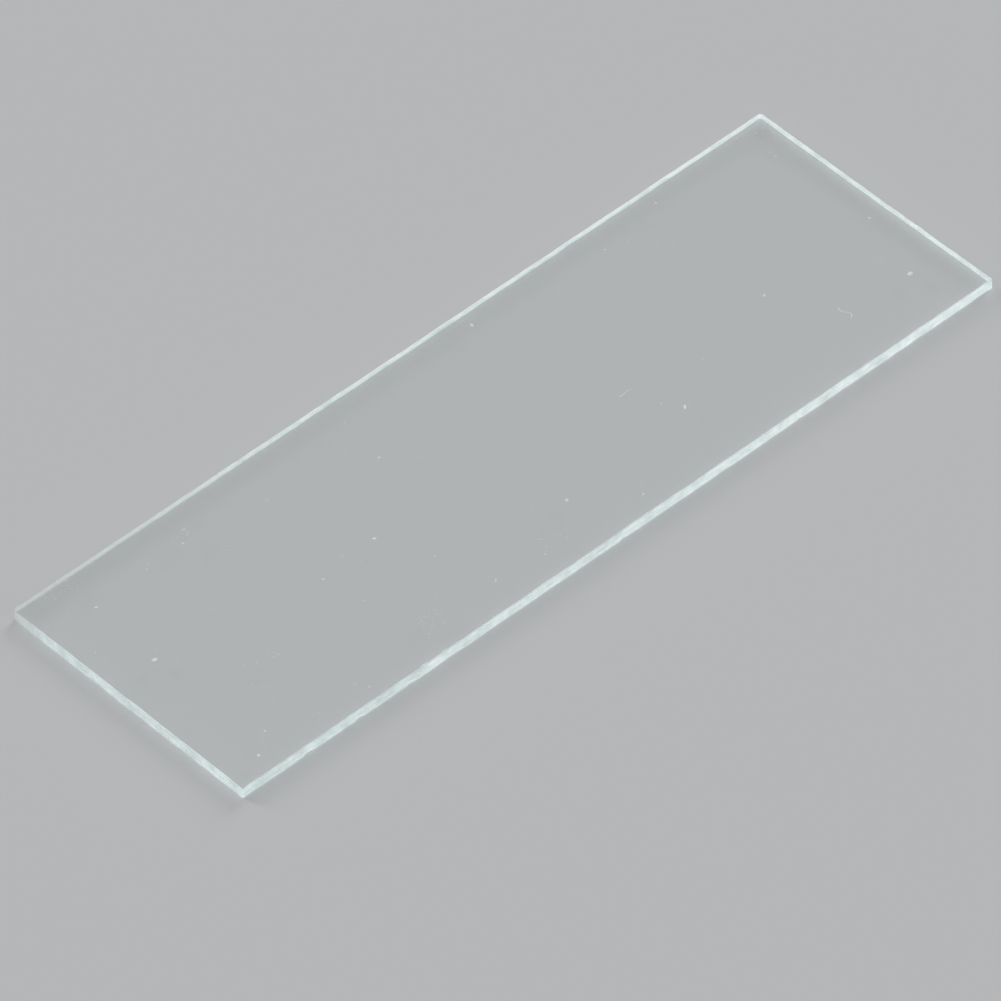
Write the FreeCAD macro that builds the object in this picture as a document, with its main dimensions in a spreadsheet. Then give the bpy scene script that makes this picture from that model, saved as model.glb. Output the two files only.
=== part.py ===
"""Microscope slide: one flat pane of clear soda-lime glass with ground edges.

Frame, in millimetres: X along the slide, Y across it, Z up. The origin is the centre of the
underside, on the surface that the slide lies on.
"""
import FreeCAD
import Part
import Sketcher
import os

# Driving dimensions: alias, value in mm, what it is.
SIZES = (
    ("slide_length", 76.2, "end to end, three inches"),
    ("slide_width", 25.4, "long edge to long edge, one inch"),
    ("slide_thickness", 1.0, "face to face"),
    ("corner_radius", 0.25, "upright corners, eased by the grinding wheel"),
    ("arris_width", 0.06, "bevel where the ground edge meets each face"),
)


def make_sizes(doc):
    """The sheet that every feature is bound to."""
    sheet = doc.addObject("Spreadsheet::Sheet", "sizes")
    for row, (alias, value, note) in enumerate(SIZES, start=1):
        sheet.set(f"A{row}", alias)
        sheet.set(f"B{row}", str(value))
        sheet.set(f"C{row}", note)
        sheet.setAlias(f"B{row}", alias)
    doc.recompute()
    return sheet


def origin_plane(body, role):
    return next(plane for plane in body.Origin.OriginFeatures if plane.Role == role)


def draw_outline(body):
    """The rectangle scored and snapped from the sheet of glass, centred on the origin."""
    sketch = body.newObject("Sketcher::SketchObject", "outline")
    sketch.AttachmentSupport = [(origin_plane(body, "XY_Plane"), "")]
    sketch.MapMode = "FlatFace"

    half_length, half_width = 30, 10  # drawn roughly, and sized by the constraints below
    corners = [
        FreeCAD.Vector(-half_length, -half_width, 0),
        FreeCAD.Vector(half_length, -half_width, 0),
        FreeCAD.Vector(half_length, half_width, 0),
        FreeCAD.Vector(-half_length, half_width, 0),
    ]
    front, right, back, left = range(4)
    for start, end in zip(corners, corners[1:] + corners[:1]):
        sketch.addGeometry(Part.LineSegment(start, end), False)

    line_start, line_end = 1, 2
    for edge, following in ((front, right), (right, back), (back, left), (left, front)):
        sketch.addConstraint(
            Sketcher.Constraint("Coincident", edge, line_end, following, line_start)
        )
    for edge in (front, back):
        sketch.addConstraint(Sketcher.Constraint("Horizontal", edge))
    for edge in (right, left):
        sketch.addConstraint(Sketcher.Constraint("Vertical", edge))

    sketch_origin = (-1, 1)
    sketch.addConstraint(
        Sketcher.Constraint("Symmetric", front, line_start, back, line_start, *sketch_origin)
    )
    for name, edge, kind in (("length", front, "DistanceX"), ("width", right, "DistanceY")):
        index = sketch.addConstraint(
            Sketcher.Constraint(kind, edge, line_start, edge, line_end, 10.0)
        )
        sketch.renameConstraint(index, name)
        sketch.setExpression(f"Constraints.{name}", f"sizes.slide_{name}")
    return sketch


def upright_edges(shape):
    """Names of the edges where two ground sides meet."""
    return [
        f"Edge{number}"
        for number, edge in enumerate(shape.Edges, start=1)
        if edge.BoundBox.ZLength > edge.BoundBox.XLength + edge.BoundBox.YLength
    ]


def polished_faces(shape):
    """Names of the two large faces, the top and the underside."""
    return [
        f"Face{number}"
        for number, face in enumerate(shape.Faces, start=1)
        if abs(face.normalAt(0, 0).z) > 0.99
    ]


def make_slide(doc):
    body = doc.addObject("PartDesign::Body", "slide")
    body.Label = "glass_slide"
    outline = draw_outline(body)

    pane = body.newObject("PartDesign::Pad", "pane")
    pane.Profile = outline
    pane.setExpression("Length", "sizes.slide_thickness")
    doc.recompute()

    eased = body.newObject("PartDesign::Fillet", "eased_corners")
    eased.Base = (pane, upright_edges(pane.Shape))
    eased.setExpression("Radius", "sizes.corner_radius")
    doc.recompute()

    ground = body.newObject("PartDesign::Chamfer", "ground_arris")
    ground.Base = (eased, polished_faces(eased.Shape))
    ground.setExpression("Size", "sizes.arris_width")
    doc.recompute()

    body.Placement = FreeCAD.Placement()
    return body


def check(doc, pieces):
    """Stops the build on a failed feature or a bad solid."""
    for item in doc.Objects:
        if "Invalid" in item.State or "Error" in item.State:
            raise RuntimeError(f"{item.Label} failed: {item.State}")
    for piece in pieces:
        if piece.Shape.isNull() or not piece.Shape.isValid():
            raise RuntimeError(f"{piece.Label} has no valid shape")


def main():
    doc = FreeCAD.newDocument("microscope_slide")
    make_sizes(doc)
    pieces = [make_slide(doc)]
    doc.recompute()
    check(doc, pieces)

    os.makedirs("parts", exist_ok=True)
    for piece in pieces:
        piece.Shape.exportStep(f"parts/{piece.Label}.step")
        box = piece.Shape.BoundBox
        print(
            f"{piece.Label}: {box.XLength:.2f} x {box.YLength:.2f} x {box.ZLength:.2f} mm,"
            f" {piece.Shape.Volume:.1f} mm3, {len(piece.Shape.Faces)} faces"
        )


main()
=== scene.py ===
import bpy
import math
from mathutils import Matrix, Vector


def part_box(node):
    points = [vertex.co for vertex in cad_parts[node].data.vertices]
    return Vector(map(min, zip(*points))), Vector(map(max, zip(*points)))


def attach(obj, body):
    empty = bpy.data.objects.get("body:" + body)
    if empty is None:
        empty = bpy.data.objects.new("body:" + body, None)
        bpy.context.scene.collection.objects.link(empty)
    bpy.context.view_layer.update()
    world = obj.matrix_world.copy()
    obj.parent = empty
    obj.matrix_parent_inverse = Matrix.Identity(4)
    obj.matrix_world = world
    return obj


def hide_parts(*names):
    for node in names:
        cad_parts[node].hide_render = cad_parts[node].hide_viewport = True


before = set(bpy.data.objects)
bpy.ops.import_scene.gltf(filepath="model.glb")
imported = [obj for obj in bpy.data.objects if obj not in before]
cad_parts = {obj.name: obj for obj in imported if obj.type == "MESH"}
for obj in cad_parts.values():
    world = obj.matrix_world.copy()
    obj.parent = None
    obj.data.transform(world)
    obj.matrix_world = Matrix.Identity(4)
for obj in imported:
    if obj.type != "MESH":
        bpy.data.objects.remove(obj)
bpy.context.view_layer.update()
slideLow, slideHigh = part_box("glass_slide")
slideSize = slideHigh - slideLow

mm = 0.001  # lengths are written in millimetres and become metres here
hair = 0.005 * mm  # closer than this counts as touching
weld = 0.002 * mm  # points nearer to each other than this are joined
tiny = 0.001 * mm  # stands in for zero in a division


class Wire:
    # one output of a node; sums and products of wires add Math nodes
    def __init__(self, graph, socket):
        self.graph = graph
        self.socket = socket

    def out(self, name):
        return Wire(self.graph, pick(self.socket.node.outputs, name))

    def maths(self, operation, first, second):
        return self.graph.node("ShaderNodeMath", {"operation": operation}, {0: first, 1: second})

    def __add__(self, other):
        return self.maths("ADD", self, other)

    def __radd__(self, other):
        return self.maths("ADD", other, self)

    def __sub__(self, other):
        return self.maths("SUBTRACT", self, other)

    def __rsub__(self, other):
        return self.maths("SUBTRACT", other, self)

    def __mul__(self, other):
        return self.maths("MULTIPLY", self, other)

    def __rmul__(self, other):
        return self.maths("MULTIPLY", other, self)

    def __truediv__(self, other):
        return self.maths("DIVIDE", self, other)

    def __rtruediv__(self, other):
        return self.maths("DIVIDE", other, self)

    def __pow__(self, other):
        return self.maths("POWER", self, other)

    def __rpow__(self, other):
        return self.maths("POWER", other, self)

    def __gt__(self, other):
        return self.maths("GREATER_THAN", self, other)

    def __lt__(self, other):
        return self.maths("LESS_THAN", self, other)

    def __abs__(self):
        return self.maths("ABSOLUTE", self, 0.0)

    def atLeast(self, other):
        return self.maths("MAXIMUM", self, other)

    def atMost(self, other):
        return self.maths("MINIMUM", self, other)


def pick(sockets, name):
    if isinstance(name, int):
        return sockets[name]
    return next(socket for socket in sockets if socket.enabled and socket.name == name)


class Graph:
    # builds the nodes of one tree
    def __init__(self, tree):
        self.tree = tree

    def node(self, kind, settings=None, sockets=None, output=None):
        made = self.tree.nodes.new(kind)
        for name, value in (settings or {}).items():
            setattr(made, name, value)
        for name, value in (sockets or {}).items():
            socket = pick(made.inputs, name)
            for one in value if isinstance(value, list) else [value]:
                if isinstance(one, Wire):
                    self.tree.links.new(one.socket, socket)
                else:
                    socket.default_value = one
        if not made.outputs:
            return made
        if output is None:
            return Wire(self, next(socket for socket in made.outputs if socket.enabled))
        return Wire(self, pick(made.outputs, output))

    def vector(self, operation, first, second):
        name = "Scale" if operation == "SCALE" else 1
        return self.node("ShaderNodeVectorMath", {"operation": operation}, {0: first, name: second})

    def length(self, vector):
        return self.node("ShaderNodeVectorMath", {"operation": "LENGTH"}, {0: vector}, "Value")

    def xyz(self, x, y, z):
        return self.node("ShaderNodeCombineXYZ", None, {"X": x, "Y": y, "Z": z})

    def parts(self, vector):
        apart = self.node("ShaderNodeSeparateXYZ", None, {0: vector})
        return apart, apart.out("Y"), apart.out("Z")

    def noise(self, vector, scale, detail=2.0, roughness=0.5, output=None):
        return self.node("ShaderNodeTexNoise", None, {
            "Vector": vector, "Scale": scale, "Detail": detail, "Roughness": roughness}, output)

    def wobble(self, vector, scale, roughness=0.5):
        # wanders to both sides of nought, up to a half
        colour = self.noise(vector, scale, roughness=roughness, output="Color")
        return self.vector("SUBTRACT", colour, (0.5, 0.5, 0.5))

    def span(self, value, low, high):
        # 0 up to the low end, 1 from the high end on
        return self.node("ShaderNodeMapRange", None, {
            "Value": value, "From Min": low, "From Max": high})

    def blendColour(self, share, first, second):
        return self.node("ShaderNodeMix", {"data_type": "RGBA"}, {
            "Factor": share, "A": first, "B": second}, "Result")

    def blendShader(self, share, first, second):
        return self.node("ShaderNodeMixShader", None, {"Fac": share, 1: first, 2: second})


def link(name, data):
    made = bpy.data.objects.new(name, data)
    bpy.context.scene.collection.objects.link(made)
    return made


studio = {
    "floorColour": (0.44, 0.445, 0.45, 1.0),
    "floorRoughness": 0.9,
    "floorRadius": 3.0,  # m
    "floorSides": 96,
    "floorGap": 0.03 * mm,  # air under the slide
    "skyColour": (0.98, 0.99, 1.0, 1.0),
    "skyStrength": 0.34,
}

# lamps so far off that they light the whole floor evenly: compass bearing (0 is -Y, 90 is +X),
# height and breadth in degrees, then how brightly a white card that faces the lamp is lit
lamps = {
    "keyLamp": (108, 25, 28, 0.80),
    "rimLamp": (197, 25, 28, 0.70),
    "frontLamp": (5, 28, 28, 0.10),
    "fillLamp": (-75, 28, 28, 0.08),
}

# a product shot with a long lens: from the front left, well above
viewpoint = {
    "bearing": -41.44,
    "height": 45.29,
    "roll": -1.92,
    "distance": 945.0 * mm,
    "target": (-3.91 * mm, -3.36 * mm, 0.0),
    "lens": 457.09,
    "sensor": 36.0,
    "nearest": 0.01,  # m, closer than this nothing is drawn
    "farthest": 20.0,
}

# how often light may bounce, so that it gets through both faces and the edges of the glass
bounces = {
    "max_bounces": 24,
    "glossy_bounces": 12,
    "transmission_bounces": 24,
    "transparent_max_bounces": 24,
}


def towards(bearing, height):
    bearing, height = math.radians(bearing), math.radians(height)
    return Vector((
        math.sin(bearing) * math.cos(height),
        -math.cos(bearing) * math.cos(height),
        math.sin(height),
    ))


def makeFloor():
    sides, radius, level = studio["floorSides"], studio["floorRadius"], -studio["floorGap"]
    turns = [2 * math.pi * side / sides for side in range(sides)]
    rim = [(radius * math.cos(turn), radius * math.sin(turn), level) for turn in turns]
    mesh = bpy.data.meshes.new("floor")
    mesh.from_pydata(rim, [], [tuple(range(sides))])
    material = bpy.data.materials.new("floorPaint")
    material.use_nodes = True
    paint = material.node_tree.nodes["Principled BSDF"]
    paint.inputs["Base Color"].default_value = studio["floorColour"]
    paint.inputs["Roughness"].default_value = studio["floorRoughness"]
    paint.inputs["Specular IOR Level"].default_value = 0.0
    mesh.materials.append(material)
    link("floor", mesh)


def litFloor():
    # the colour that the floor has under the sky and the lamps
    lampShare = sum(card * math.sin(math.radians(height)) for _, height, _, card in lamps.values())
    red, green, blue, _ = (
        paint * (sky * studio["skyStrength"] + lampShare)
        for paint, sky in zip(studio["floorColour"], studio["skyColour"]))
    return red, green, blue, 1.0


def makeWorld():
    # the sky lights the slide, and what the eye or a mirror meets is a backdrop like the floor
    world = bpy.data.worlds.new("studio")
    bpy.context.scene.world = world
    world.use_nodes = True
    world.node_tree.nodes.clear()
    graph = Graph(world.node_tree)
    rays = graph.node("ShaderNodeLightPath")
    seen = rays.out("Is Camera Ray") + rays.out("Is Glossy Ray") + rays.out("Is Transmission Ray")
    sky = graph.node("ShaderNodeBackground", None, {
        "Color": studio["skyColour"], "Strength": studio["skyStrength"]})
    backdrop = graph.node("ShaderNodeBackground", None, {
        "Color": litFloor(), "Strength": 1.0})
    mixed = graph.blendShader(seen.atMost(1.0), sky, backdrop)
    graph.node("ShaderNodeOutputWorld", None, {"Surface": mixed})


def makeLamps():
    for name, (bearing, height, breadth, card) in lamps.items():
        data = bpy.data.lights.new(name, "SUN")
        data.angle = math.radians(breadth)
        data.energy = card * math.pi
        lamp = link(name, data)
        lamp.location = towards(bearing, height)
        lamp.rotation_mode = "QUATERNION"
        lamp.rotation_quaternion = towards(bearing, height).to_track_quat("Z", "Y")


def makeCamera():
    data = bpy.data.cameras.new("camera")
    data.lens = viewpoint["lens"]
    data.sensor_width = viewpoint["sensor"]
    data.clip_start = viewpoint["nearest"]
    data.clip_end = viewpoint["farthest"]
    camera = link("camera", data)
    back = towards(viewpoint["bearing"], viewpoint["height"])
    bearing, roll = math.radians(viewpoint["bearing"]), math.radians(viewpoint["roll"])
    level = Vector((math.cos(bearing), math.sin(bearing), 0.0))
    upright = back.cross(level)
    right = level * math.cos(roll) + upright * math.sin(roll)
    up = upright * math.cos(roll) - level * math.sin(roll)
    turned = Matrix((right, up, back)).transposed()
    camera.matrix_world = Matrix.Translation(
        Vector(viewpoint["target"]) + back * viewpoint["distance"]
    ) @ turned.to_4x4()
    bpy.context.scene.camera = camera


def setLightPaths():
    scene = bpy.context.scene
    scene.view_settings.view_transform = "Standard"
    for kind, most in bounces.items():
        setattr(scene.cycles, kind, most)
    scene.cycles.caustics_refractive = False
    scene.cycles.caustics_reflective = False


makeFloor()
makeWorld()
makeLamps()
makeCamera()
setLightPaths()
print("studio ready:", len(lamps), "lamps")


def newMaterial(name):
    material = bpy.data.materials.new(name)
    material.use_nodes = True
    material.node_tree.nodes.clear()
    return material, Graph(material.node_tree)


def placeInMillimetres(graph):
    place = graph.node("ShaderNodeTexCoord", None, None, "Object")
    return graph.vector("SCALE", place, 1000.0)


clearGlass = {
    "tint": (0.985, 0.992, 0.990, 1.0),
    "lightTint": (0.972, 0.980, 0.978, 1.0),  # what lamps lose at each face
    "ior": 1.52,
    "wipeScale": (0.05, 0.22, 0.2),  # per mm: streaks run along the slide
    "smudgeScale": 0.16,
    "cleanBelow": 0.20,  # where streaks and smudges are fainter than this, the glass is clean
    "haze": 0.25,
}


def clearGlassMaterial():
    material, graph = newMaterial("clearGlass")
    place = placeInMillimetres(graph)
    wipe = graph.noise(graph.vector("MULTIPLY", place, clearGlass["wipeScale"]), 1.0, detail=4.0)
    smudge = graph.noise(place, clearGlass["smudgeScale"], detail=3.0)
    haze = (wipe * smudge - clearGlass["cleanBelow"]).atLeast(0.0) * clearGlass["haze"]
    glass = graph.node("ShaderNodeBsdfPrincipled", None, {
        "Base Color": clearGlass["tint"],
        "Roughness": haze,
        "IOR": clearGlass["ior"],
        "Transmission Weight": 1.0,
    })
    # lamps and sky shine straight through, so that the floor under the slide is lit
    clear = graph.node("ShaderNodeBsdfTransparent", None, {"Color": clearGlass["lightTint"]})
    rays = graph.node("ShaderNodeLightPath")
    forSky = graph.blendShader(rays.out("Is Diffuse Ray"), glass, clear)
    forLamps = graph.blendShader(rays.out("Is Shadow Ray"), forSky, clear)
    graph.node("ShaderNodeOutputMaterial", None, {"Surface": forLamps})
    return material


groundGlass = {
    "darkest": (0.57, 0.65, 0.645, 1.0),
    "lightest": (0.93, 1.0, 0.995, 1.0),
    # painted shade: the duller colour that the edge takes near the left back corner
    "worn": (0.54, 0.56, 0.555, 1.0),
    "ior": 1.52,
    "throughShare": 0.58,  # of the light goes on through the matt skin
    "shadowShare": 0.35,  # of the light that it keeps from the floor
    "markScale": (0.7, 0.7, 9.0),  # per mm: the wheel's marks are long along the edge
    "grainScale": 9.0,
    "cloudScale": 0.9,
    # how much of the tone marks, grain and clouds each make, and the stretch of it that shows
    "markShare": 0.35,
    "grainShare": 0.35,
    "cloudShare": 0.30,
    "toneSpan": (0.35, 0.63),
    "paintedEndShade": 0.08,  # painted shade: how much duller the edge is painted at the left end
    "bevelPaintedLight": 0.14,  # painted light: how much lighter the bevels are painted than the sides
    "bevelSpan": (0.24, 0.64),  # upward part of the normal, from a side to a bevel
    "shadeReach": (26.0, 4.0),  # mm along and across, from the corner where the painted shade is darkest
    # strength of the painted corner shade: a least share, and what the clouds add to it
    "shadeLeast": 0.6,
    "shadeClouds": 0.5,
    "smoothest": 0.38,
    "grainRoughness": 0.25,
    "reliefStrength": 0.6,
    "reliefDepth": 0.02 * mm,
}


def groundGlassMaterial():
    material, graph = newMaterial("groundGlass")
    place = placeInMillimetres(graph)
    marks = graph.noise(
        graph.vector("MULTIPLY", place, groundGlass["markScale"]), 1.0, detail=3.0, roughness=0.6)
    grain = graph.noise(place, groundGlass["grainScale"], roughness=0.7)
    cloud = graph.noise(place, groundGlass["cloudScale"])

    # painted shade: the edge darker towards the left end
    x, _, _ = graph.parts(place)
    endShade = (slideHigh.x / mm - x) * (groundGlass["paintedEndShade"] * mm / slideSize.x)
    # painted light: the bevels lighter than the sides; lift is that less the painted shade
    _, _, facing = graph.parts(graph.node("ShaderNodeNewGeometry", None, None, "Normal"))
    bevel = graph.span(abs(facing), *groundGlass["bevelSpan"])
    lift = bevel * groundGlass["bevelPaintedLight"] - endShade
    mottle = (
        marks * groundGlass["markShare"]
        + grain * groundGlass["grainShare"]
        + cloud * groundGlass["cloudShare"]
    )
    tone = graph.span(mottle + lift, *groundGlass["toneSpan"])
    ground = graph.blendColour(tone, groundGlass["darkest"], groundGlass["lightest"])

    # painted shade: the edge duller towards the left back corner
    along, across = groundGlass["shadeReach"]
    corner = (slideLow.x / mm, slideHigh.y / mm, 0.0)
    away = graph.vector("SUBTRACT", place, corner)
    away = graph.length(graph.vector("MULTIPLY", away, (1 / along, 1 / across, 0.0)))
    cornerShade = (1.0 - away).atLeast(0.0)
    cornerShade = cornerShade * (groundGlass["shadeLeast"] + groundGlass["shadeClouds"] * cloud)
    colour = graph.blendColour(cornerShade, ground, groundGlass["worn"])

    relief = graph.node("ShaderNodeBump", None, {
        "Strength": groundGlass["reliefStrength"],
        "Distance": groundGlass["reliefDepth"],
        "Height": marks * 0.5 + grain * 0.5,
    })
    skin = graph.node("ShaderNodeBsdfPrincipled", None, {
        "Base Color": colour,
        "Roughness": groundGlass["smoothest"] + grain * groundGlass["grainRoughness"],
        "IOR": groundGlass["ior"],
        "Normal": relief,
    })

    def glow(paint):
        # what the matt skin passes on, in one plain colour
        return graph.node("ShaderNodeBsdfTranslucent", None, {
            "Color": groundGlass[paint], "Normal": relief})

    # what the skin passes on carries the same painted light and shade
    through = graph.blendShader(tone, glow("darkest"), glow("lightest"))
    through = graph.blendShader(cornerShade, through, glow("worn"))
    matt = graph.blendShader(groundGlass["throughShare"], skin, through)
    # the edge glows with the light that it lets through, so its shadow is a light one
    clear = graph.node("ShaderNodeBsdfTransparent", None, {"Color": clearGlass["lightTint"]})
    forLamps = graph.blendShader(groundGlass["shadowShare"], clear, matt)
    rays = graph.node("ShaderNodeLightPath")
    mixed = graph.blendShader(rays.out("Is Shadow Ray"), matt, forLamps)
    graph.node("ShaderNodeOutputMaterial", None, {"Surface": mixed})
    return material


clearFinish = clearGlassMaterial()
groundFinish = groundGlassMaterial()
print("glass finishes ready")


def startTree(name, values, seeded=False):
    # each plain number in the dictionary becomes a named input
    tree = bpy.data.node_groups.new(name, "GeometryNodeTree")
    if seeded:
        tree.interface.new_socket(
            name="Geometry", in_out="INPUT", socket_type="NodeSocketGeometry")
    for key, value in values.items():
        if isinstance(value, (int, float)):
            kind = "NodeSocketInt" if isinstance(value, int) else "NodeSocketFloat"
            tree.interface.new_socket(name=key, in_out="INPUT", socket_type=kind)
    tree.interface.new_socket(
        name="Geometry", in_out="OUTPUT", socket_type="NodeSocketGeometry")
    return tree, Graph(tree)


def grow(name, tree, values, seed=None):
    # runs a tree on its seed mesh and keeps the result as a plain mesh
    seedling = link(name + "Seed", seed or bpy.data.meshes.new(name + "Seed"))
    modifier = seedling.modifiers.new(name, "NODES")
    modifier.node_group = tree
    for item in tree.interface.items_tree:
        if item.in_out == "INPUT" and item.name in values:
            modifier[item.identifier] = values[item.name]
    evaluated = seedling.evaluated_get(bpy.context.evaluated_depsgraph_get())
    mesh = bpy.data.meshes.new_from_object(evaluated)
    mesh.name = name
    bpy.data.objects.remove(seedling)
    if mesh.materials[0] is None:
        mesh.materials.pop(index=0)  # the empty slot that grown meshes start with
    return link(name, mesh)


slide = {
    "length": slideSize.x,
    "width": slideSize.y,
    "thickness": slideSize.z,
    "arris": 0.06 * mm,  # bevel between a clear face and the ground edge
    "arrisLeast": 0.4,  # shares of that: the bevel's least breadth, and what it gains at most
    "arrisGain": 1.2,
    "arrisScale": 0.8,  # per mm
    "waveDepth": 0.13 * mm,  # how far the grinding wanders
    "waveScale": 0.45,  # per mm
    "waveFrom": 0.3,  # less wander than this leaves no dip
    "chipSize": 0.30 * mm,  # the largest of the scattered chips
    "chipSpacing": 3.2 * mm,
    "nibbleSize": 0.12 * mm,
    "nibbleSpacing": 0.7 * mm,
    "chipRarity": 3.0,  # the higher, the fewer of them are large
    "quietCorner": 0.8 * mm,  # wear fades out this near to an upright corner
    "seed": 7.0,
    "spacing": 0.07 * mm,  # between the columns of the ground edge
    "arrisRows": 3,
    "uprightRows": 8,
    "cornerSteps": 8,
    "crispFrom": math.radians(26.0),  # from this angle on, an edge isn't smoothed
    # radius of each upright corner, by its side along the slide and across it
    "cornerRadii": {
        (-1, 1): 0.38 * mm,
        (1, 1): 0.30 * mm,
        (-1, -1): 0.21 * mm,
        (1, -1): 0.12 * mm,
    },
    # larger chips, by side and arris, in mm: place along the side, reach and depth
    "nicks": {
        ("front", "lower"): [
            (-31.5, 0.60, 0.15),
            (-26.5, 0.50, 0.12),
            (-21.5, 0.40, 0.10),
            (0.0, 0.40, 0.08),
            (18.0, 0.40, 0.10),
        ],
        ("front", "upper"): [(-20.0, 0.45, 0.10), (-18.0, 0.35, 0.10)],
        ("left", "lower"): [(-7.0, 0.35, 0.08)],
        ("back", "lower"): [(-34.0, 0.40, 0.08)],
    },
}


def onSide(side, place):
    # the point this many millimetres along a side
    return {
        "front": (place * mm, slideLow.y, 0.0),
        "back": (place * mm, slideHigh.y, 0.0),
        "left": (slideLow.x, place * mm, 0.0),
    }[side]


def easedOutline(graph, size):
    # the slide seen from above, each upright corner eased by its own radius
    x, y, _ = graph.parts(graph.node("GeometryNodeInputPosition"))
    radius = 0.0
    for (alongSide, acrossSide), eased in slide["cornerRadii"].items():
        radius = (x * alongSide > 0.0) * (y * acrossSide > 0.0) * eased + radius
    outline = graph.node("GeometryNodeCurvePrimitiveQuadrilateral", None, {
        "Width": size.out("length"), "Height": size.out("width")})
    return graph.node("GeometryNodeFilletCurve", {"mode": "POLY"}, {
        "Curve": outline, "Count": size.out("cornerSteps"), "Radius": radius})


class EdgeWear:
    # how far the ground edge is worn back, from the place round the rim and the height;
    # each kind of wear reads its noise from a place of its own, this far off
    def __init__(self, graph, size, rim):
        self.graph = graph
        self.size = size
        self.rim = rim
        self.seed = size.out("seed")
        self.inMillimetres = graph.vector("SCALE", rim, 1000.0)

    def shifted(self, x, y):
        seed = self.seed
        return self.graph.vector(
            "ADD", self.inMillimetres, self.graph.xyz(seed + x, seed + y, seed))

    def wander(self, offset, scale, detail=2.0):
        return self.graph.noise(self.shifted(offset, -offset), scale, detail)

    def chips(self, offset, kind, rise):
        # scoops about points scattered along an arris, which stands this far off
        largest, spacing = self.size.out(kind + "Size"), self.size.out(kind + "Spacing")
        voronoi = self.graph.node("ShaderNodeTexVoronoi", None, {
            "Vector": self.shifted(offset, 2 * offset), "Scale": mm / spacing}, "Distance")
        luck, _, _ = self.graph.parts(voronoi.out("Color"))
        away, reach = voronoi * spacing, largest * luck ** self.size.out("chipRarity")
        scoop = (reach * reach - away * away - rise * rise) / reach.atLeast(tiny)
        return scoop.atLeast(0.0) * 0.5

    def nick(self, point, reach, depth, rise):
        # one larger chip in the arris that stands this far off, half as high as it is long
        away = self.graph.length(self.graph.vector("SUBTRACT", self.rim, point))
        fall = 1.0 - (away * away + rise * rise * 4.0) / (reach * mm) ** 2
        return fall.atLeast(0.0) * (depth * mm)

    def depth(self, height):
        size = self.size
        above = size.out("thickness") - height
        wave = self.wander(300.0, size.out("waveScale"), detail=3.0) - size.out("waveFrom")
        wave = wave.atLeast(0.0) * size.out("waveDepth")
        worn = self.chips(400.0, "chip", height)
        worn = worn.atLeast(self.chips(500.0, "chip", above))
        worn = worn.atLeast(self.chips(600.0, "nibble", height))
        worn = worn.atLeast(self.chips(700.0, "nibble", above))
        rises = {"lower": height, "upper": above}
        for (side, arris), nicks in slide["nicks"].items():
            for place, reach, depth in nicks:
                nick = self.nick(onSide(side, place), reach, depth, rises[arris])
                worn = worn.atLeast(nick)
        # less towards an upright corner, where the rim of the clear face would fold over
        x, y, _ = self.graph.parts(self.rim)
        alongGap, acrossGap = size.out("length") * 0.5 - abs(x), size.out("width") * 0.5 - abs(y)
        return (worn + wave) * (alongGap.atLeast(acrossGap) / size.out("quietCorner")).atMost(1.0)

    def arris(self, offset):
        # the breadth of a bevel, which wavers
        size = self.size
        share = size.out("arrisGain") * self.wander(offset, size.out("arrisScale"))
        return size.out("arris") * (size.out("arrisLeast") + share)


def groundEdge(graph, size, outline):
    # a strip of columns round the outline and rows up the edge, with a bevel at each face
    arrisRows, uprightRows = size.out("arrisRows"), size.out("uprightRows")
    rows = 2.0 * arrisRows + uprightRows
    around = graph.node("GeometryNodeCurveLength", None, {"Curve": outline})
    columns = graph.node("FunctionNodeFloatToInt", None, {0: around / size.out("spacing")})
    strip = graph.node("GeometryNodeMeshGrid", None, {
        "Size X": 1.0, "Size Y": 1.0, "Vertices X": columns, "Vertices Y": rows + 1.0})
    spotX, spotY, _ = graph.parts(graph.node("GeometryNodeInputPosition"))
    row = (spotY + 0.5) * rows
    rim = graph.node("GeometryNodeSampleCurve", {"mode": "FACTOR"}, {
        "Curves": outline, "Factor": spotX + 0.5}, "Position")
    outwards = graph.vector("CROSS_PRODUCT", rim.out("Tangent"), (0.0, 0.0, 1.0))

    wear = EdgeWear(graph, size, rim)
    thickness = size.out("thickness")
    lowerArris, upperArris = wear.arris(100.0), wear.arris(200.0)
    upright = thickness - lowerArris - upperArris
    height = (
        row.atMost(arrisRows) * lowerArris / arrisRows
        + (row - arrisRows).atLeast(0.0).atMost(uprightRows) * upright / uprightRows
        + (row - arrisRows - uprightRows).atLeast(0.0) * upperArris / arrisRows
    )
    bevel = (lowerArris - height).atLeast(height - thickness + upperArris).atLeast(0.0)
    inset = graph.vector("SCALE", outwards, bevel + wear.depth(height))
    placed = graph.vector("ADD", graph.vector("SUBTRACT", rim, inset), graph.xyz(0.0, 0.0, height))
    edge = graph.node("GeometryNodeSetPosition", None, {"Geometry": strip, "Position": placed})
    return graph.node("GeometryNodeMergeByDistance", None, {
        "Geometry": edge, "Distance": weld})


def clearFaces(graph, size, edge):
    # the two clear faces fill the rims of the ground edge
    thickness = size.out("thickness")
    _, _, level = graph.parts(graph.node("GeometryNodeInputPosition"))

    def lid(rimEdges):
        loop = graph.node("GeometryNodeMeshToCurve", None, {"Mesh": edge, "Selection": rimEdges})
        return graph.node("GeometryNodeFillCurve", {"mode": "NGONS"}, {"Curve": loop})

    top = graph.node("GeometryNodeTransform", None, {
        "Geometry": lid(level > thickness - hair), "Translation": graph.xyz(0.0, 0.0, thickness)})
    bottom = graph.node("GeometryNodeFlipFaces", None, {"Mesh": lid(level < hair)})
    return graph.node("GeometryNodeJoinGeometry", None, {"Geometry": [top, bottom]})


def finished(graph, part, material, smooth):
    part = graph.node("GeometryNodeSetMaterial", None, {"Geometry": part, "Material": material})
    return graph.node("GeometryNodeSetShadeSmooth", None, {
        "Geometry": part, "Shade Smooth": smooth})


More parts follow.
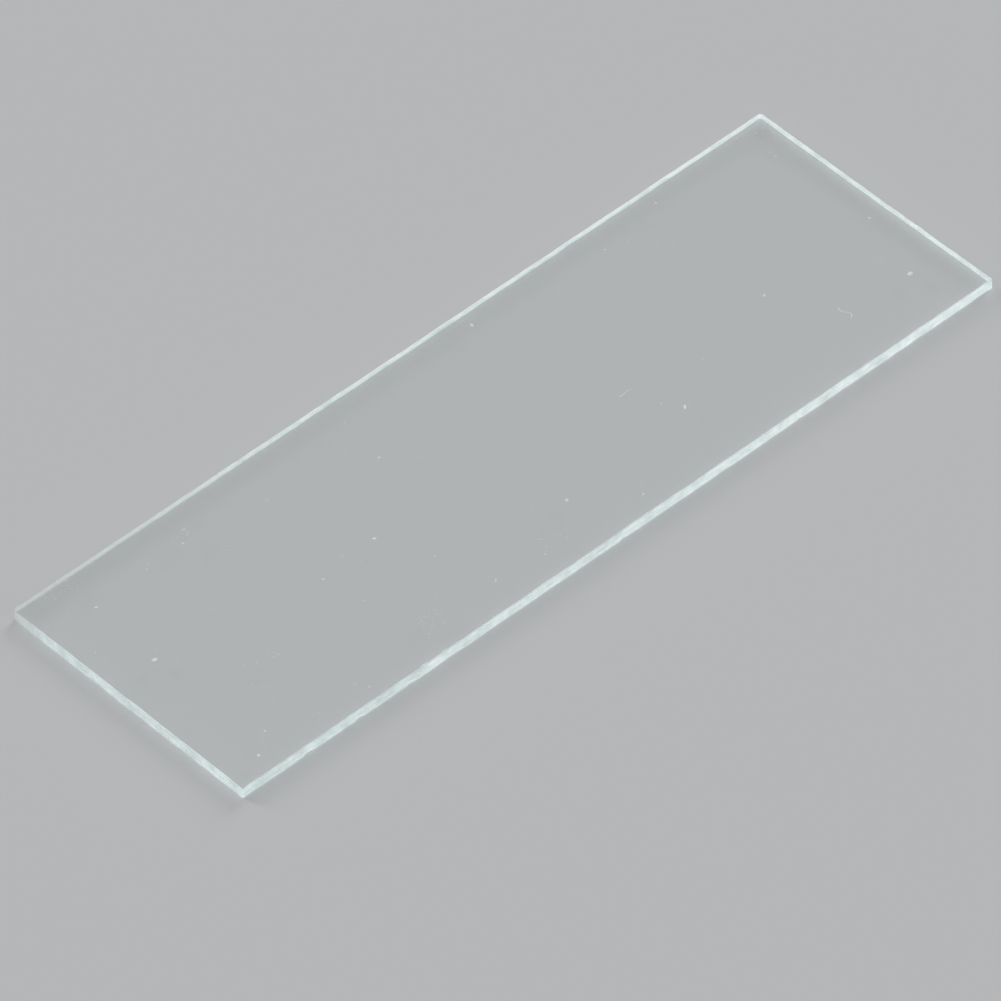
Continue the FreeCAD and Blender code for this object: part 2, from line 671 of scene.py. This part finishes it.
def slideTree():
    tree, graph = startTree("slideGlass", slide)
    size = graph.node("NodeGroupInput")
    edge = groundEdge(graph, size, easedOutline(graph, size))
    faces = finished(graph, clearFaces(graph, size, edge), clearFinish, False)

    # the ground edge is smooth between its bevels
    angle = graph.node("GeometryNodeInputMeshEdgeAngle")
    edge = graph.node("GeometryNodeSetShadeSmooth", {"domain": "EDGE"}, {
        "Geometry": finished(graph, edge, groundFinish, True),
        "Shade Smooth": angle < size.out("crispFrom")})
    whole = graph.node("GeometryNodeJoinGeometry", None, {"Geometry": [faces, edge]})
    whole = graph.node("GeometryNodeMergeByDistance", None, {
        "Geometry": whole, "Distance": weld})
    whole = graph.node("GeometryNodeRealizeInstances", None, {"Geometry": whole})
    graph.node("NodeGroupOutput", None, {"Geometry": whole})
    return tree


slideGlass = grow("slideGlass", slideTree(), slide)
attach(slideGlass, "root")
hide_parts("glass_slide")
print("slide:", len(slideGlass.data.vertices), "points", len(slideGlass.data.polygons), "faces",
      [material.name for material in slideGlass.data.materials])


dust = {
    "strays": 900,  # about how many fine specks are strewn over the top face
    "strayGrid": (190, 64),  # points of the sheet that they are strewn over
    "finest": 0.035 * mm,  # breadth of a stray
    "coarsest": 0.16 * mm,
    "strayRarity": 4.0,  # the higher, the fewer of them are coarse
    "narrowest": 0.4,  # share of its breadth
    "clumpScale": 0.25,  # per mm
    "clumpContrast": 3.0,
    "proud": 0.024 * mm,  # how high a speck is at most
    "lift": 0.002 * mm,  # air under it
    "lumpDepth": 0.09 * mm,
    "lumpScale": 14.0,  # per mm
    "crumbDetail": 3,
    "strayDetail": 1,
    "clearRim": 0.5 * mm,
    "seed": 4,
    # crumbs that show, in mm: place along and across, width, length, turn in degrees
    "crumbs": [
        (-34.0, 1.5, 0.40, 0.45, 0),
        (34.0, -8.0, 0.40, 0.45, 0),
        (12.0, -6.5, 0.20, 0.55, 50),
        (24.5, -2.0, 0.20, 0.30, 20),
        (-1.0, -7.5, 0.25, 0.35, 70),
        (-14.0, -0.5, 0.20, 0.35, -30),
        (-19.5, -1.0, 0.15, 0.20, 0),
        (-12.0, -5.0, 0.15, 0.15, 0),
        (-33.5, 8.5, 0.20, 0.25, 0),
        (-35.0, -11.0, 0.25, 0.30, 40),
        (-23.5, 10.0, 0.20, 0.30, 0),
        (-24.5, 9.0, 0.20, 0.20, 0),
        (6.5, 11.0, 0.20, 0.40, 80),
        (11.0, -5.0, 0.15, 0.20, 80),
        (-24.5, -11.5, 0.15, 0.25, 50),
        (-33.0, -9.5, 0.15, 0.20, 20),
        (-17.0, 8.0, 0.10, 0.20, -70),
        (-10.5, -10.0, 0.15, 0.20, 50),
        (-8.0, 5.5, 0.15, 0.20, 30),
        (25.5, 11.0, 0.15, 0.30, -80),
        (36.0, -1.5, 0.15, 0.25, -60),
        (3.5, -11.0, 0.15, 0.25, 60),
        (-6.0, -10.5, 0.15, 0.15, 0),
    ],
    # films of finer dust, in mm: place along and across, reach, and specks per square mm
    "films": [
        (-16.5, -9.5, 1.5, 50),
        (-27.5, -4.0, 1.3, 34),
        (-35.0, 11.5, 1.0, 60),
        (-33.5, 11.5, 0.9, 60),
        (-24.0, 9.5, 1.3, 34),
        (36.0, 10.0, 2.4, 12),
        (-4.5, -9.5, 2.0, 9),
    ],
}


dustPaint = {
    "darkest": (0.42, 0.42, 0.41, 1.0),
    "lightest": (0.74, 0.75, 0.74, 1.0),
    "toneScale": 2.5,  # per mm
    "roughness": 0.9,
    "ior": 1.3,
}


def fluffMaterial(name, paint):
    # matt and mottled, for dust and for lint
    material, graph = newMaterial(name)
    tone = graph.noise(placeInMillimetres(graph), paint["toneScale"])
    fluff = graph.node("ShaderNodeBsdfPrincipled", None, {
        "Base Color": graph.blendColour(tone, paint["darkest"], paint["lightest"]),
        "Roughness": paint["roughness"],
        "IOR": paint["ior"],
    })
    graph.node("ShaderNodeOutputMaterial", None, {"Surface": fluff})
    return material


def crumbSeed():
    # one point for each crumb, which carries its size and turn
    crumbs = dust["crumbs"]
    mesh = bpy.data.meshes.new("crumbSeed")
    mesh.from_pydata([(x * mm, y * mm, 0.0) for x, y, _, _, _ in crumbs], [], [])
    size = mesh.attributes.new("crumbSize", "FLOAT_VECTOR", "POINT")
    for point, (_, _, width, length, _) in zip(size.data, crumbs):
        point.vector = (length * mm / 2, width * mm / 2, dust["proud"] / 2)
    turn = mesh.attributes.new("crumbTurn", "FLOAT", "POINT")
    for point, (_, _, _, _, degrees) in zip(turn.data, crumbs):
        point.value = math.radians(degrees)
    return mesh


def flakes(graph, points, detail, scale, turn):
    ball = graph.node("GeometryNodeMeshIcoSphere", None, {
        "Radius": 1.0, "Subdivisions": detail})
    spin = graph.node("FunctionNodeEulerToRotation", None, {0: graph.xyz(0.0, 0.0, turn)})
    strewn = graph.node("GeometryNodeInstanceOnPoints", None, {
        "Points": points, "Instance": ball, "Rotation": spin, "Scale": scale})
    return graph.node("GeometryNodeRealizeInstances", None, {"Geometry": strewn})


def crumbs(graph, size):
    scale = graph.node("GeometryNodeInputNamedAttribute", {"data_type": "FLOAT_VECTOR"}, {
        "Name": "crumbSize"})
    turn = graph.node("GeometryNodeInputNamedAttribute", {"data_type": "FLOAT"}, {
        "Name": "crumbTurn"})
    return flakes(graph, size.out("Geometry"), size.out("crumbDetail"), scale, turn)


def strayPoints(graph, size):
    # strays lie thicker in clumps, towards one end and in the films
    rim = size.out("clearRim") * 2.0
    columns, rows = dust["strayGrid"]
    sheet = graph.node("GeometryNodeMeshGrid", None, {
        "Size X": slideSize.x - rim, "Size Y": slideSize.y - rim,
        "Vertices X": columns, "Vertices Y": rows})
    spot = graph.node("GeometryNodeInputPosition")
    spotX, _, _ = graph.parts(spot)
    clumps = graph.noise(graph.vector("SCALE", spot, 1000.0), size.out("clumpScale"), detail=3.0)
    clumps = clumps * 2.0  # so that they average 1
    density = clumps ** size.out("clumpContrast") * (1.0 - spotX / slideSize.x)
    density = density * size.out("strays") / (slideSize.x * slideSize.y)
    for x, y, reach, specks in dust["films"]:
        away = graph.length(graph.vector("SUBTRACT", spot, (x * mm, y * mm, 0.0)))
        density = density + (1.0 - away / (reach * mm)).atLeast(0.0) * (specks / mm ** 2)
    return graph.node("GeometryNodeDistributePointsOnFaces", None, {
        "Mesh": sheet, "Density": density, "Seed": size.out("seed")})


def strays(graph, size):
    seed = size.out("seed")
    finest, coarsest = size.out("finest"), size.out("coarsest")

    def chance(least, most, draw):
        return graph.node("FunctionNodeRandomValue", {"data_type": "FLOAT"}, {
            "Min": least, "Max": most, "Seed": seed + draw})

    luck = chance(0.0, 1.0, 0) ** size.out("strayRarity")
    broad = (finest + (coarsest - finest) * luck) / 2.0
    narrow = broad * chance(size.out("narrowest"), 1.0, 2)
    tall = broad.atMost(size.out("proud") / 2.0)
    return flakes(
        graph, strayPoints(graph, size), size.out("strayDetail"),
        graph.xyz(broad, narrow, tall), chance(0.0, 2 * math.pi, 1))


def dustTree():
    tree, graph = startTree("dust", dust, seeded=True)
    size = graph.node("NodeGroupInput")
    proud = size.out("proud")
    whole = graph.node("GeometryNodeJoinGeometry", None, {
        "Geometry": [crumbs(graph, size), strays(graph, size)]})

    # rough lumps rather than balls, all set down on the glass
    place = graph.vector("SCALE", graph.node("GeometryNodeInputPosition"), 1000.0)
    lumps = graph.wobble(place, size.out("lumpScale"), roughness=0.6)
    shake = graph.vector("SCALE", lumps, size.out("lumpDepth"))
    whole = graph.node("GeometryNodeSetPosition", None, {"Geometry": whole, "Offset": shake})
    x, y, z = graph.parts(graph.node("GeometryNodeInputPosition"))
    rise = (z + proud / 2.0).atLeast(0.0).atMost(proud)
    seated = graph.xyz(x, y, slideHigh.z + size.out("lift") + rise)
    whole = graph.node("GeometryNodeSetPosition", None, {"Geometry": whole, "Position": seated})
    whole = graph.node("GeometryNodeRealizeInstances", None, {
        "Geometry": finished(graph, whole, dustFinish, True)})
    graph.node("NodeGroupOutput", None, {"Geometry": whole})
    return tree


dustFinish = fluffMaterial("dust", dustPaint)
dustSpecks = grow("dustSpecks", dustTree(), dust, crumbSeed())
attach(dustSpecks, "root")
print("dust:", len(dustSpecks.data.polygons), "faces")


lint = {
    "thread": 0.030 * mm,  # thickness of a fibre
    "lift": 0.001 * mm,  # air under it
    "frizz": 0.14 * mm,  # how far it wanders
    "frizzScale": 2.2,  # per mm
    "steps": 60,
    "sides": 8,
    # in mm: start, the two handles that bend the fibre, end
    "fibres": [
        [(27.6, -6.8), (27.0, -7.7), (28.5, -7.8), (27.5, -8.3)],
        [(9.2, -2.2), (9.5, -2.6), (10.0, -2.0), (10.4, -2.4)],
    ],
}


lintPaint = {
    "darkest": (0.70, 0.71, 0.73, 1.0),
    "lightest": (0.92, 0.93, 0.94, 1.0),
    "toneScale": 4.0,  # per mm
    "roughness": 0.8,
    "ior": 1.45,
}


def lintTree():
    tree, graph = startTree("lint", lint)
    size = graph.node("NodeGroupInput")
    radius = size.out("thread") / 2.0
    fibres = []
    for bends in lint["fibres"]:
        start, startHandle, endHandle, end = [(x * mm, y * mm, 0.0) for x, y in bends]
        fibres.append(graph.node("GeometryNodeCurvePrimitiveBezierSegment", None, {
            "Start": start, "Start Handle": startHandle, "End Handle": endHandle, "End": end}))
    paths = graph.node("GeometryNodeJoinGeometry", None, {"Geometry": fibres})
    paths = graph.node("GeometryNodeResampleCurve", None, {
        "Curve": paths, "Count": size.out("steps")})

    # frizz bends each fibre flat on the glass
    place = graph.vector("SCALE", graph.node("GeometryNodeInputPosition"), 1000.0)
    bend = graph.vector("MULTIPLY", graph.wobble(place, size.out("frizzScale")), (1.0, 1.0, 0.0))
    level = graph.xyz(0.0, 0.0, slideHigh.z + size.out("lift") + radius)
    offset = graph.vector("ADD", graph.vector("SCALE", bend, size.out("frizz")), level)
    paths = graph.node("GeometryNodeSetPosition", None, {"Geometry": paths, "Offset": offset})
    profile = graph.node("GeometryNodeCurvePrimitiveCircle", {"mode": "RADIUS"}, {
        "Resolution": size.out("sides"), "Radius": radius})
    threads = graph.node("GeometryNodeCurveToMesh", None, {
        "Curve": paths, "Profile Curve": profile, "Fill Caps": True})
    whole = graph.node("GeometryNodeRealizeInstances", None, {
        "Geometry": finished(graph, threads, lintFinish, True)})
    graph.node("NodeGroupOutput", None, {"Geometry": whole})
    return tree


lintFinish = fluffMaterial("lint", lintPaint)
lintFibres = grow("lintFibres", lintTree(), lint)
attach(lintFibres, "root")
print("lint:", len(lintFibres.data.polygons), "faces")
